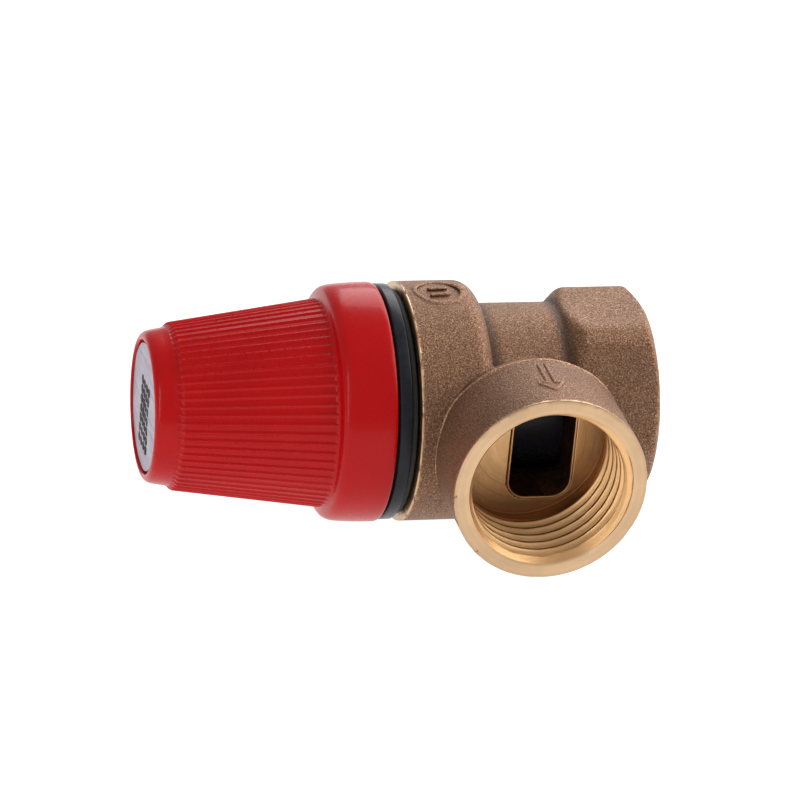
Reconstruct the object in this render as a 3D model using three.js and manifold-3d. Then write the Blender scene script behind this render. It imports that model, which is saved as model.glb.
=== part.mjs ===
// Pressure relief valve with a twist-to-test knob, G1/2 female in and out.
// Lengths in mm. The valve frame has X along the valve axis (knob at -X, inlet at +X),
// the outlet pointing to -Y and Z up; its origin is where the two bores' axes cross.
import * as THREE from "three";
import { mergeVertices } from "three/addons/utils/BufferGeometryUtils.js";
import Module from "manifold-3d";

const wasm = await Module();
wasm.setup();

// ---- driving dimensions ----
const GAP = 0.3; // clearance left between pieces that touch
const PITCH = 1.814; // G1/2 thread
const CREST_R = 9.35;
const ROOT_R = 10.35;
const MOUTH_R = 10.2;

const INLET_X = 17.1;
const INLET_FLOOR_X = 7.6;
const HEX_AF = 25.0;
const HEX_TURNED_R = 13.8; // the hexagon's corners are turned down to this
const NECK_R = 12.0;
const COLLAR_R = 14.95;
const COLLAR_END_X = -13.9;
const OUTLET_Y = -24.85;
const OUTLET_R = 12.0;
const STUB_R = 11.1; // the outlet behind its end boss
const OUTLET_FLOOR_Y = -11.9;
const CHAMBER_R = 8.8;
const SEAT_X = 4.4;
const SKIRT_X = 6.1; // the disc holder's skirt reaches past the seat
const LEDGE_X = -8.0;
const ORIFICE_R = 5.8;

const FLANGE_R = 14.7; // bonnet flange, the black ring
const BONNET_BORE_R = 7.5;
const BONNET_TOP_X = -39.5;
const STEM_R = 2.5;
const STUD_R = 1.8;
const WIRE_R = 0.9;
const SPRING_R = 5.4;
const COILS = 6;

const KNOB_OPEN_X = -16.85;
const KNOB_END_X = -45.7;
const RIBS = 64;
const RIB_DEPTH = 0.26;
const RAMPS = 4;
const RAMP_RISE = 2.25; // per ramp of 90 degrees: 2 mm in 80 degrees

// ---- materials ----
const material = (color, roughness, metalness) =>
  new THREE.MeshStandardMaterial({ color, roughness, metalness });
const BRASS = material(0x9c7a55, 0.5, 0.8);
const BRIGHT_BRASS = material(0xd8b36a, 0.3, 0.9);
const RED = material(0xb8141c, 0.3, 0);
const BLACK = material(0x1b1c1f, 0.4, 0);
const RUBBER = material(0x111111, 0.8, 0);
const STEEL = material(0xa8aaad, 0.35, 0.9);
const LABEL = material(0xc3bfd0, 0.5, 0);

// ---- solids ----
function solid(geometry) {
  const bare = geometry.clone();
  bare.deleteAttribute("normal");
  bare.deleteAttribute("uv");
  const merged = mergeVertices(bare, 1e-4);
  const index = merged.index.array;
  const kept = [];
  for (let i = 0; i < index.length; i += 3) {
    const [a, b, c] = [index[i], index[i + 1], index[i + 2]];
    if (a !== b && b !== c && a !== c) kept.push(a, b, c);
  }
  const made = new wasm.Manifold(
    new wasm.Mesh({
      numProp: 3,
      vertProperties: merged.attributes.position.array,
      triVerts: new Uint32Array(kept),
    }),
  );
  if (made.volume() < 0) throw new Error("a solid faces inwards");
  return made;
}

const join = (solids) => solids.reduce((a, b) => a.add(b));
const cut = (base, cutters) => cutters.reduce((a, b) => a.subtract(b), base);

// Signed area of a closed outline, to wind every profile the same way.
function area(points) {
  return points.reduce((sum, [a, b], i) => {
    const [c, d] = points[(i + 1) % points.length];
    return sum + (a * d - c * b) / 2;
  }, 0);
}

// A turned solid about X. The profile is a list of [x, radius]. It starts and ends on the axis,
// or goes round once (a ring) when closed is true.
function turned(profile, segments = 48, closed = false) {
  const wound = area(profile) > 0 ? [...profile].reverse() : profile;
  const points = wound.map(([x, r]) => new THREE.Vector2(r, x));
  if (closed) points.push(points[0].clone());
  return new THREE.LatheGeometry(points, segments).rotateZ(-Math.PI / 2);
}

// A plain cylinder or disc about X.
const rod = (x0, x1, r, segments = 28) =>
  turned([[x0, 0], [x0, r], [x1, r], [x1, 0]], segments);

// A flat ring about X.
const ring = (x0, x1, rIn, rOut, segments = 28) =>
  turned([[x0, rIn], [x0, rOut], [x1, rOut], [x1, rIn]], segments, true);

// Turns a geometry built about X so that its +X end points to -Y.
const toOutlet = (geometry) => geometry.rotateZ(-Math.PI / 2);

// A six-sided prism about X, with two flats facing +Z and -Z.
function hexagon(x0, x1, acrossFlats) {
  const corner = acrossFlats / Math.sqrt(3);
  return new THREE.CylinderGeometry(corner, corner, x1 - x0, 6)
    .rotateY(Math.PI / 2)
    .rotateZ(-Math.PI / 2)
    .translate((x0 + x1) / 2, 0, 0);
}

// Points of a quarter ellipse from [x0, r0] to [x1, r1], bulging outward at the first one.
function quarter(x0, r0, x1, r1, steps = 5) {
  const points = [];
  for (let i = 1; i <= steps; i++) {
    const t = (i / steps) * (Math.PI / 2);
    points.push([x0 + (x1 - x0) * Math.sin(t), r1 + (r0 - r1) * Math.cos(t)]);
  }
  return points;
}

// The hollow of a G1/2 socket whose face is at x = face, bored toward -X to the floor:
// mouth chamfer, V-shaped turns, relief groove.
function socket(face, floor, turns) {
  const out = [[face + 1, 0], [face + 1, MOUTH_R], [face, MOUTH_R], [face - 1.1, CREST_R]];
  for (let i = 0; i < turns; i++) {
    const x = face - 1.5 - i * PITCH;
    out.push([x, CREST_R], [x - 0.65, ROOT_R], [x - 0.95, ROOT_R], [x - 1.5, CREST_R]);
  }
  const end = face - 1.5 - turns * PITCH;
  out.push([end, CREST_R], [end - 0.3, ROOT_R - 0.45], [floor, ROOT_R - 0.45], [floor, 0]);
  return turned(out, 36);
}

// ---- body ----
function bodyOuter() {
  const shell = [
    [COLLAR_END_X, 0],
    [COLLAR_END_X, COLLAR_R - 0.3],
    [COLLAR_END_X + 0.3, COLLAR_R],
    [-4.7, COLLAR_R],
    ...quarter(-4.7, COLLAR_R, -2.5, NECK_R + 0.6),
    [-2.4, NECK_R],
    [7, NECK_R],
    [7, 0],
  ];
  const turning = [
    [5.6, 0],
    [5.6, 11.6],
    [7.8, HEX_TURNED_R],
    [16.1, HEX_TURNED_R],
    [INLET_X, 11.9],
    [INLET_X, 0],
  ];
  const nut = solid(hexagon(5.6, INLET_X, HEX_AF)).intersect(solid(turned(turning, 72)));
  const boss = [
    [2, 0],
    [2, STUB_R],
    [13.3, STUB_R],
    [13.6, OUTLET_R - 0.3],
    [13.9, OUTLET_R],
    [-OUTLET_Y - 0.3, OUTLET_R],
    [-OUTLET_Y, OUTLET_R - 0.3],
    [-OUTLET_Y, 0],
  ];
  return join([solid(turned(shell, 48)), nut, solid(toOutlet(turned(boss, 48)))]);
}

// Rounded window between the outlet socket's floor and the chamber.
function windowCutter() {
  const [x0, x1, z, r] = [-1.7, 6.3, 7.8, 2.4];
  const s = new THREE.Shape();
  s.moveTo(x0 + r, -z);
  s.lineTo(x1 - r, -z);
  s.absarc(x1 - r, -z + r, r, -Math.PI / 2, 0, false);
  s.lineTo(x1, z - r);
  s.absarc(x1 - r, z - r, r, 0, Math.PI / 2, false);
  s.lineTo(x0 + r, z);
  s.absarc(x0 + r, z - r, r, Math.PI / 2, Math.PI, false);
  s.lineTo(x0, -z + r);
  s.absarc(x0 + r, -z + r, r, Math.PI, (3 * Math.PI) / 2, false);
  const block = new THREE.ExtrudeGeometry(s, { depth: 11, bevelEnabled: false, curveSegments: 4 });
  return solid(block.rotateX(Math.PI / 2).translate(0, -3, 0));
}

// The chamber with its raised seat, the ledge for the diaphragm and the bonnet's threaded mouth.
function chamberCutter() {
  return solid(
    turned(
      [
        [COLLAR_END_X - 1, 0],
        [COLLAR_END_X - 1, 12.7],
        [COLLAR_END_X, 12.7],
        [COLLAR_END_X + 0.5, 12.2],
        [-11.3, 12.2],
        [-11.3, 11.2],
        [LEDGE_X, 11.2],
        [LEDGE_X, CHAMBER_R],
        [6.6, CHAMBER_R],
        [6.6, 7.1],
        [SEAT_X, 6.9],
        [SEAT_X, 6.2],
        [SEAT_X + 0.4, ORIFICE_R],
        [INLET_FLOOR_X + 1, ORIFICE_R],
        [INLET_FLOOR_X + 1, 0],
      ],
      40,
    ),
  );
}

// Cast-in marks: a ring with two plain bars on the collar, and the flow arrow on the outlet.
function marks() {
  const disc = (z0, z1, r) =>
    new THREE.CylinderGeometry(r, r, z1 - z0, 32)
      .rotateX(Math.PI / 2)
      .translate(-9.5, 0.2, (z0 + z1) / 2);
  const rim = cut(solid(disc(13.8, 15.15, 3.25)), [solid(disc(14.85, 16, 2.7))]);
  const bar = (y) => solid(new THREE.BoxGeometry(2.8, 0.5, 0.5).translate(-9.5, y, 14.95));
  const [tail, neck, tip] = [-14.9, -20.2, -22.4];
  const shape = new THREE.Shape();
  shape.moveTo(-0.45, tail);
  shape.lineTo(-0.45, neck);
  shape.lineTo(-1.7, neck);
  shape.lineTo(0, tip);
  shape.lineTo(1.7, neck);
  shape.lineTo(0.45, neck);
  shape.lineTo(0.45, tail);
  const arrow = new THREE.ExtrudeGeometry(shape, { depth: 1.3, bevelEnabled: false });
  return [rim, bar(-0.7), bar(1.1), solid(arrow.translate(0.25, 0, 10.95))];
}

function valveBody() {
  const outer = join([bodyOuter(), ...marks()]);
  const outletSocket = toOutlet(socket(-OUTLET_Y, -OUTLET_FLOOR_Y, 5));
  const hollow = [
    chamberCutter(),
    solid(socket(INLET_X, INLET_FLOOR_X, 4)),
    solid(outletSocket),
    windowCutter(),
  ];
  return cut(outer, hollow);
}

// ---- ramps ----
// A ramp tooth from angle a0 to a1 (degrees) between radii r0 and r1. Its back is flat at x = back
// and its face is at x = face(angle).
function tooth(a0, a1, r0, r1, back, face) {
  const box = new THREE.BoxGeometry(1, 1, 1, 7, 1, 1);
  const p = box.getAttribute("position");
  for (let i = 0; i < p.count; i++) {
    const angle = a0 + (p.getX(i) + 0.5) * (a1 - a0);
    const r = p.getY(i) > 0 ? r1 : r0;
    const x = p.getZ(i) > 0 ? back : face(angle);
    const t = (angle * Math.PI) / 180;
    p.setXYZ(i, x, r * Math.cos(t), r * Math.sin(t));
  }
  return box;
}

// Turns a tooth's faces outward whichever way its box was bent.
function toothSolid(...shape) {
  const box = tooth(...shape);
  const index = box.index.array;
  const p = box.getAttribute("position");
  let volume = 0;
  for (let i = 0; i < index.length; i += 3) {
    const [u, v, w] = [0, 1, 2].map((k) =>
      new THREE.Vector3().fromBufferAttribute(p, index[i + k]),
    );
    volume += u.dot(v.cross(w)) / 6;
  }
  if (volume < 0) index.reverse();
  return solid(box);
}

// ---- bonnet ----
// Face of a ramp that starts at the angle `start`. It rises toward smaller angles, so the knob
// climbs as it turns anticlockwise, seen from its own end.
const rampX = (angle, start) => BONNET_TOP_X - (RAMP_RISE * (start + 90 - angle)) / 90;

function bonnet() {
  const tower = [
    [-10.4, 8.9],
    [-10.4, 10.6],
    [-10.7, 10.9],
    [-11.6, 10.9],
    [-11.9, 11.9],
    [-14.15, 11.9],
    [-14.15, FLANGE_R - 0.5],
    [-14.9, FLANGE_R - 0.4],
    [-15.0, FLANGE_R],
    [-16.3, FLANGE_R],
    [-16.6, FLANGE_R - 0.3],
    [-16.6, 9.6],
    [-32, 8.9],
    [BONNET_TOP_X, 8.8],
    [BONNET_TOP_X, BONNET_BORE_R],
    [-14, BONNET_BORE_R],
    [-13, 8.9],
  ];
  const teeth = [];
  for (let i = 0; i < RAMPS; i++) {
    const start = i * 90;
    teeth.push(
      toothSolid(start + 0.5, start + 86, BONNET_BORE_R, 8.8, BONNET_TOP_X + 0.8, (a) =>
        rampX(a, start),
      ),
    );
  }
  return join([solid(turned(tower, 36, true)), ...teeth]);
}

// ---- knob ----
function knobSkin() {
  const plain = [
    [KNOB_OPEN_X, 0],
    [KNOB_OPEN_X, 14.6],
    [KNOB_OPEN_X - 0.3, 14.9],
    [-19.5, 14.85],
    [-21.8, 14.65],
    [-23.2, 14.1],
    [-24.0, 13.3],
    [-24.3, 12.5],
    [-26, 12],
    [-43, 9.75],
    [-44.8, 9.4],
    [-45.4, 9.1],
    [KNOB_END_X, 8.7],
    [KNOB_END_X, 0],
  ];
  const sides = 2 * RIBS;
  const cone = turned(
    [[-24, 0], [-24, 12.6], [-25.3, 12.82], [-41.9, 10.42], [-42.6, 10.1], [-42.9, 9.6], [-42.9, 0]],
    sides,
  );
  const p = cone.getAttribute("position");
  for (let i = 0; i < p.count; i++) {
    const r = Math.hypot(p.getY(i), p.getZ(i));
    const step = Math.round((Math.atan2(p.getZ(i), p.getY(i)) * sides) / (2 * Math.PI));
    if (r < 10.3 || step % 2 === 0) continue;
    const k = (r - RIB_DEPTH) / r;
    p.setXYZ(i, p.getX(i), p.getY(i) * k, p.getZ(i) * k);
  }
  return join([solid(turned(plain, 48)), solid(cone)]);
}

function knob() {
  const hollow = [
    [KNOB_OPEN_X + 1, 0],
    [KNOB_OPEN_X + 1, 13],
    [-21.5, 13],
    [-23.6, 11.6],
    [-25, 11.2],
    [-42.05, 9.15],
    [-42.05, 7.5],
    [-43.7, 7.5],
    [-43.7, 5],
    [-40.9, 5],
    [-40.9, 0],
  ];
  const face = [
    [KNOB_END_X - 1, 0],
    [KNOB_END_X - 1, 8.25],
    [-44.9, 8.25],
    [-44.9, 3.7],
    [-42.4, 3.7],
    [-42.4, 0],
  ];
  const shell = cut(knobSkin(), [
    solid(turned(hollow, 32)),
    solid(turned(face, 32)),
    solid(rod(-43, -40, 1.9)),
  ]);
  const teeth = [];
  for (let i = 0; i < RAMPS; i++) {
    const start = i * 90;
    teeth.push(
      toothSolid(start + 8, start + 87.5, 7.6, 8.7, -42.5, (a) => rampX(a, start) - GAP),
    );
  }
  return join([shell, ...teeth]);
}

// ---- pieces on the stem ----
function stem() {
  const outline = [
    [-2.7, 0],
    [-2.7, STUD_R - 0.3],
    [-3, STUD_R],
    [-13.2, STUD_R],
    [-13.2, STEM_R],
    [-40.3, STEM_R],
    [-40.6, STEM_R - 0.3],
    [-40.6, STUD_R],
    [-35.5, STUD_R],
    [-35.5, 0],
  ];
  return solid(turned(outline, 24));
}

function discHolder() {
  const cup = [
    [SKIRT_X, 7.5],
    [SKIRT_X, 8],
    [SKIRT_X - 0.3, 8.2],
    [-3.8, 8.2],
    [-5.6, 6.6],
    [-7.7, 6.6],
    [LEDGE_X, 6.3],
    [LEDGE_X, 2.1],
    [-2.4, 2.1],
    [-2.4, 0],
    [-1.2, 0],
    [-1.2, 1.9],
    [1.6, 1.9],
    [1.6, 7.5],
  ];
  return solid(turned(cup, 36, true));
}

// Screw about X with its head's outer face at x = top and its shank pointing to `way`.
function screw(top, thick, headR, shankR, length, way, socketR) {
  const under = top + way * thick;
  const body = [
    [top, 0],
    [top, headR - 0.3],
    [top + way * 0.3, headR],
    [under, headR],
    [under, shankR],
    [under + way * length, shankR],
    [under + way * length, 0],
  ];
  const hex = new THREE.CylinderGeometry(socketR, socketR, 1.4, 6).rotateZ(-Math.PI / 2);
  return cut(solid(turned(body, 24)), [solid(hex.translate(top, 0, 0))]);
}

function diaphragmNut() {
  return cut(solid(hexagon(-12.9, -10.9, 7)), [solid(rod(-14, -10, 2.1))]);
}

// Lower spring plate with a collar that centres the spring.
function springPlate() {
  const outline = [
    [-13.2, 2.8],
    [-13.2, 6.9],
    [-14.2, 6.9],
    [-14.2, 4.1],
    [-15.8, 4.1],
    [-15.8, 2.8],
  ];
  return solid(turned(outline, 28, true));
}

class Helix extends THREE.Curve {
  constructor(x0, x1, r, turns) {
    super();
    Object.assign(this, { x0, x1, r, turns });
  }
  getPoint(t, target = new THREE.Vector3()) {
    // closed, flat end coils: the pitch fades to almost nothing over the first and last turn
    const dead = 1 / this.turns;
    const u = Math.min(1, Math.max(0, (t - dead / 2) / (1 - dead)));
    const lead = this.x0 + (this.x1 - this.x0) * (0.06 * t + 0.94 * u);
    const a = t * this.turns * 2 * Math.PI;
    return target.set(lead, this.r * Math.cos(a), this.r * Math.sin(a));
  }
}

function spring() {
  const wire = new THREE.Shape();
  for (let i = 0; i < 6; i++) {
    const a = (i * Math.PI) / 3;
    if (i === 0) wire.moveTo(WIRE_R, 0);
    else wire.lineTo(WIRE_R * Math.cos(a), WIRE_R * Math.sin(a));
  }
  const path = new Helix(-15.45, -31.45, SPRING_R, COILS + 1);
  return solid(
    new THREE.ExtrudeGeometry(wire, {
      steps: (COILS + 1) * 12,
      bevelEnabled: false,
      extrudePath: path,
    }),
  );
}

// ---- adjusting parts ----
// Threaded ring with a centre hole and two slots for the setting tool.
function slottedRing(x0, x1, hole) {
  const blank = solid(ring(x0, x1, hole, 7.2));
  const slot = new THREE.BoxGeometry(1.2, 20, 2).translate(x1, 0, 0);
  return cut(blank, [solid(slot)]);
}

// ---- assembly ----
function meshOf(name, made, look) {
  const { vertProperties, triVerts, numProp } = made.getMesh();
  const points = new Float32Array((vertProperties.length / numProp) * 3);
  for (let i = 0; i < points.length / 3; i++)
    points.set(vertProperties.subarray(i * numProp, i * numProp + 3), 3 * i);
  const geometry = new THREE.BufferGeometry()
    .setAttribute("position", new THREE.BufferAttribute(points, 3))
    .setIndex(new THREE.BufferAttribute(triVerts, 1))
    .toNonIndexed();
  geometry.computeVertexNormals();
  const mesh = new THREE.Mesh(geometry, look);
  mesh.name = name;
  return mesh;
}

const PIECES = [
  ["valve_body", valveBody(), BRASS],
  ["bonnet", bonnet(), BLACK],
  ["knob", knob(), RED],
  ["label_disc", solid(rod(-45.5, -45.2, 7.9, 32)), LABEL],
  ["knob_screw", screw(-44.6, 1.2, 2.9, 1.5, 7.4, 1, 1.2), STEEL],
  ["knob_washer", solid(ring(-43.1, -42.7, 1.9, 3.4)), STEEL],
  ["stem", stem(), BRIGHT_BRASS],
  ["lock_ring", slottedRing(-37.1, -38.7, 3), BRIGHT_BRASS],
  ["adjuster", slottedRing(-34.2, -36.8, 3), BRIGHT_BRASS],
  ["thrust_washer", solid(ring(-33.9, -32.7, 3, 7)), STEEL],
  ["spring", spring(), STEEL],
  ["spring_plate", springPlate(), STEEL],
  ["diaphragm_nut", diaphragmNut(), BRIGHT_BRASS],
  ["diaphragm_plate", solid(ring(-10.6, -9.6, 2.1, 7.6)), STEEL],
  ["slip_washer", solid(ring(-10.1, -9.6, 8.6, 10.7)), STEEL],
  ["diaphragm", solid(ring(-9.3, -8.3, 2.1, 10.9, 40)), RUBBER],
  ["disc_holder", discHolder(), BLACK],
  ["seat_disc", solid(ring(1.9, 4.1, 1.9, 7.2)), RUBBER],
  ["seat_washer", solid(ring(4.4, 5.2, 1.9, 4.4)), STEEL],
  ["seat_screw", screw(7.3, 1.8, 3, 1.5, 6, -1, 1.3), STEEL],
];

// The part stands with its bounding box's bottom centre at the origin.
const valve = new THREE.Group();
for (const [name, made, look] of PIECES) valve.add(meshOf(name, made, look));
const box = new THREE.Box3().setFromObject(valve);
valve.position.set(
  -(box.min.x + box.max.x) / 2,
  -(box.min.y + box.max.y) / 2,
  -box.min.z,
);
const part = new THREE.Group();
part.add(valve);

export default part;
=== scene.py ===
"""Pressure relief valve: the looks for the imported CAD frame.

Lengths are in mm in the valve's own frame, with X along the valve's axis, the outlet to -Y and
Z up; mm() takes them to the row frame in metres. A depth is measured into a socket from its face.
"""
import math

import bmesh
import bpy
import numpy as np
from mathutils import Matrix, Vector


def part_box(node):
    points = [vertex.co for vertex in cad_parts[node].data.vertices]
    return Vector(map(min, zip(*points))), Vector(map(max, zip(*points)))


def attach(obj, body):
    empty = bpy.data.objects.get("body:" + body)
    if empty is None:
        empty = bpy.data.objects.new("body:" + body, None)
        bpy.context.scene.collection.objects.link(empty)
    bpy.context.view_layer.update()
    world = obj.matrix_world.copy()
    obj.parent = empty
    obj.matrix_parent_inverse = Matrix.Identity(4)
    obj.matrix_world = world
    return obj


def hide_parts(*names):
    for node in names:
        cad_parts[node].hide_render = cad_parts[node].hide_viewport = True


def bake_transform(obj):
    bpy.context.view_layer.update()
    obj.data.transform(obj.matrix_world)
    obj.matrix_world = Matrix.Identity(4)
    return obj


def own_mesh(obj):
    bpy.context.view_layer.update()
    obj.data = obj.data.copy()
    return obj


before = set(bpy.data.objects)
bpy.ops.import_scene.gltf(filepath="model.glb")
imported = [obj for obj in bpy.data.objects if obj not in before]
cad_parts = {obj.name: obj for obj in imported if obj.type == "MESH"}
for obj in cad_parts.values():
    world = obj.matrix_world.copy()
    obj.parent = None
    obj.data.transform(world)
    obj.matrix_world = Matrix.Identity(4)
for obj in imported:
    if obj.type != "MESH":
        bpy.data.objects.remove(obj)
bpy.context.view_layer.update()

# ------------------------------------------------------------------ driving dimensions, in mm
# the two sockets, both G1/2: where the faces and floors are, and how deep the thread's turns go
INLET_FACE = 17.1
INLET_FLOOR = 7.6
INLET_TURNS = 8.4
OUTLET_FACE = 24.85
OUTLET_FLOOR = 11.9
OUTLET_TURNS = 10.2
PITCH = 1.814
CREST_R = 9.36
ROOT_R = 10.25
RELIEF_R = 10.05
SLEEVE_R = 10.45  # the hole in the casting that holds a socket's sleeve

# the casting's outside
COLLAR_R = 14.93
COLLAR_FACE = -13.85
COLLAR_SHOULDER = -4.3
NECK_R = 12.0
BOSS_R = 12.0
BOSS_BACK = 13.6
STUB_R = 11.1
HALF_FLATS = 12.48
CORNER_R = 13.78  # the hexagon's corners are turned down to this
HEX_RAMP = 6.0  # where the hexagon starts to rise out of the neck
RING_MARK = (-9.5, 0.2)
RING_MARK_R = 3.0

# the casting's inside
CHAMBER_R = 8.8
CHAMBER_END = 6.6
SEAT_X = 4.4
ORIFICE_R = 5.8
LEDGE_X = -8.0
LEDGE_R = 11.2
MOUTH_X = -11.3
MOUTH_R = 12.2
WINDOW_X = 2.3
WINDOW_HALF = (4.0, 7.8)
WINDOW_CORNER = 2.4

# the knob, the ramps between it and the bonnet, and the label in its end
RIBS = 64
RAMP_X = -39.5
RAMP_RISE = 2.25
LABEL_X = -45.44
LABEL_R = 7.9

# The valve frame's origin in the row frame, to the nearest micrometre: the inlet's face is the
# body's furthest point along X, and the stem lies on the valve's axis.
stem_middle = 500 * sum(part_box("stem"), Vector())
inlet_end = 1000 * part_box("valve_body")[1].x
OFFSET = np.round([inlet_end - INLET_FACE, stem_middle.y, stem_middle.z], 3)
RNG = np.random.default_rng(7)


def mm(points):
    """Points of the valve's own frame, in the row frame and in metres."""
    return (np.asarray(points, float) + OFFSET) * 0.001


# ------------------------------------------------------------------ meshes
def make(name, verts, faces, mats, slots=None, angle=35.0):
    """A mesh object from points in mm, faces and a material number for each face."""
    me = bpy.data.meshes.new(name)
    me.from_pydata(mm(verts).tolist(), [], [list(map(int, f)) for f in faces])
    me.update()
    bm = bmesh.new()
    bm.from_mesh(me)
    bmesh.ops.recalc_face_normals(bm, faces=bm.faces)
    bm.to_mesh(me)
    bm.free()
    for m in mats:
        me.materials.append(m)
    if slots is not None:
        me.polygons.foreach_set("material_index", np.asarray(slots, np.int32))
    me.polygons.foreach_set("use_smooth", np.ones(len(me.polygons), bool))
    me.set_sharp_from_angle(angle=math.radians(angle))
    return shown(name, me)


def shown(name, data):
    """A new object in the scene."""
    o = bpy.data.objects.new(name, data)
    bpy.context.collection.objects.link(o)
    return o


def joined(name, objects):
    """One object from several, keeping each one's materials."""
    bm = bmesh.new()
    mats, me = [], bpy.data.meshes.new(name)
    for o in objects:
        first = len(bm.faces)
        bm.from_mesh(o.data)
        bm.faces.ensure_lookup_table()
        remap = []
        for m in o.data.materials:
            if m not in mats:
                mats.append(m)
            remap.append(mats.index(m))
        for f in bm.faces[first:]:
            f.material_index = remap[f.material_index]
    bm.to_mesh(me)
    bm.free()
    for m in mats:
        me.materials.append(m)
    for o in objects:
        bpy.data.objects.remove(o)
    return shown(name, me)


def around(sides):
    """Equally spaced angles of one turn."""
    return np.arange(sides) * 2 * np.pi / sides


def grid_faces(rows, cols, close_cols=True, close_rows=False):
    """Quads of a rows x cols grid of points numbered row by row."""
    i = np.arange(rows if close_rows else rows - 1)
    j = np.arange(cols if close_cols else cols - 1)
    i, j = (a.ravel() for a in np.meshgrid(i, j, indexing="ij"))
    i2, j2 = (i + 1) % rows, (j + 1) % cols
    return np.stack([i * cols + j, i * cols + j2, i2 * cols + j2, i2 * cols + j], 1)


def tube_faces(rows, cols):
    """A grid's quads with a cap on its first and its last row."""
    last = (rows - 1) * cols
    return grid_faces(rows, cols).tolist() + [
        list(range(cols))[::-1],
        list(range(last, last + cols)),
    ]


def rounded(profile, radius=0.12, closed=True):
    """The outline with each corner rounded (points on the axis stay)."""
    p = [np.array(q, float) for q in profile]
    steps, tiny = 3, 1e-6
    out = []
    for k, here in enumerate(p):
        if not closed and k in (0, len(p) - 1):
            out.append(here)
            continue
        a, b = p[k - 1] - here, p[(k + 1) % len(p)] - here
        la, lb = np.linalg.norm(a), np.linalg.norm(b)
        if min(here[1], la, lb) < tiny:
            out.append(here)
            continue
        r = min(radius, 0.4 * la, 0.4 * lb)
        a, b = here + a / la * r, here + b / lb * r
        for t in np.arange(steps + 1) / steps:
            out.append((1 - t) ** 2 * a + 2 * t * (1 - t) * here + t * t * b)
    return np.array(out)


def revolved(x, r):
    """Points about X, at a place and a radius for each row, or for each row and angle."""
    th = around(r.shape[1])
    x = np.broadcast_to(x, r.shape)
    return np.stack([x, r * np.cos(th), r * np.sin(th)], 2).reshape(-1, 3)


def ring_section(x0, x1, r0, r1):
    return [(x0, r0), (x0, r1), (x1, r1), (x1, r0)]


def turned(name, profile, mat, sides, radius, ring=True):
    """A turned piece with softened corners: a closed ring, or a rod that ends on the axis."""
    p = rounded(profile, radius, closed=ring)
    v = revolved(p[:, :1], np.repeat(p[:, 1:], sides, 1))
    return make(name, v, grid_faces(len(p), sides, close_rows=ring), [mat])


# ------------------------------------------------------------------ node helpers
class Shader:
    """A material and short ways to add its nodes."""

    def __init__(self, name):
        self.mat = bpy.data.materials.new(name)
        self.mat.use_nodes = True
        self.tree = self.mat.node_tree
        self.bsdf = self.tree.nodes["Principled BSDF"]

    def plug(self, socket, value):
        """Link a node's output to a socket, or set the socket's own value."""
        if isinstance(value, bpy.types.NodeSocket):
            self.tree.links.new(value, socket)
        elif socket.type == "RGBA":
            socket.default_value = (*value, 1)
        else:
            socket.default_value = value

    def node(self, kind, inputs=None, **props):
        n = self.tree.nodes.new(kind)
        for k, v in props.items():
            setattr(n, k, v)
        for k, v in (inputs or {}).items():
            self.plug(n.inputs[k], v)
        return n

    def coords(self):
        return self.node("ShaderNodeTexCoord").outputs["Object"]

    def split(self, vector):
        return self.node("ShaderNodeSeparateXYZ", {0: vector}).outputs

    def noise(self, scale, detail=4.0, rough=0.5, vector=None):
        return self.node(
            "ShaderNodeTexNoise",
            {"Vector": vector or self.coords(), "Scale": scale, "Detail": detail, "Roughness": rough},
        ).outputs["Fac"]

    def ramp(self, fac, stops):
        n = self.node("ShaderNodeValToRGB", {"Fac": fac})
        e = n.color_ramp.elements
        while len(e) < len(stops):
            e.new(0.5)
        for item, (at, col) in zip(e, stops):
            item.position = at
            item.color = (*col, 1)
        return n.outputs["Color"]

    def math(self, op, a, b=0.0, c=0.0):
        return self.node("ShaderNodeMath", {0: a, 1: b, 2: c}, operation=op).outputs[0]

    def mix(self, fac, a, b, blend="MIX"):
        return self.node(
            "ShaderNodeMix", {0: fac, 6: a, 7: b}, data_type="RGBA", blend_type=blend
        ).outputs[2]

    def length(self, a, b):
        """The distance from an axis, from the two coordinates across it."""
        squares = self.math("ADD", self.math("MULTIPLY", a, a), self.math("MULTIPLY", b, b))
        return self.math("SQRT", squares)

    def band(self, value, centre, half):
        """1 at the centre, falling to 0 at half its width on either side."""
        off = self.math("ABSOLUTE", self.math("SUBTRACT", value, centre))
        return self.math("MAXIMUM", self.math("SUBTRACT", 1.0, self.math("DIVIDE", off, half)), 0.0)

    def bump(self, height, strength, distance, normal=None):
        ins = {"Height": height, "Strength": strength, "Distance": distance}
        if normal:
            ins["Normal"] = normal
        return self.node("ShaderNodeBump", ins).outputs["Normal"]

    def set(self, **values):
        for k, v in values.items():
            self.plug(self.bsdf.inputs[k.replace("_", " ")], v)
        return self.mat


def grey(v):
    return (v, v, v)


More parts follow.
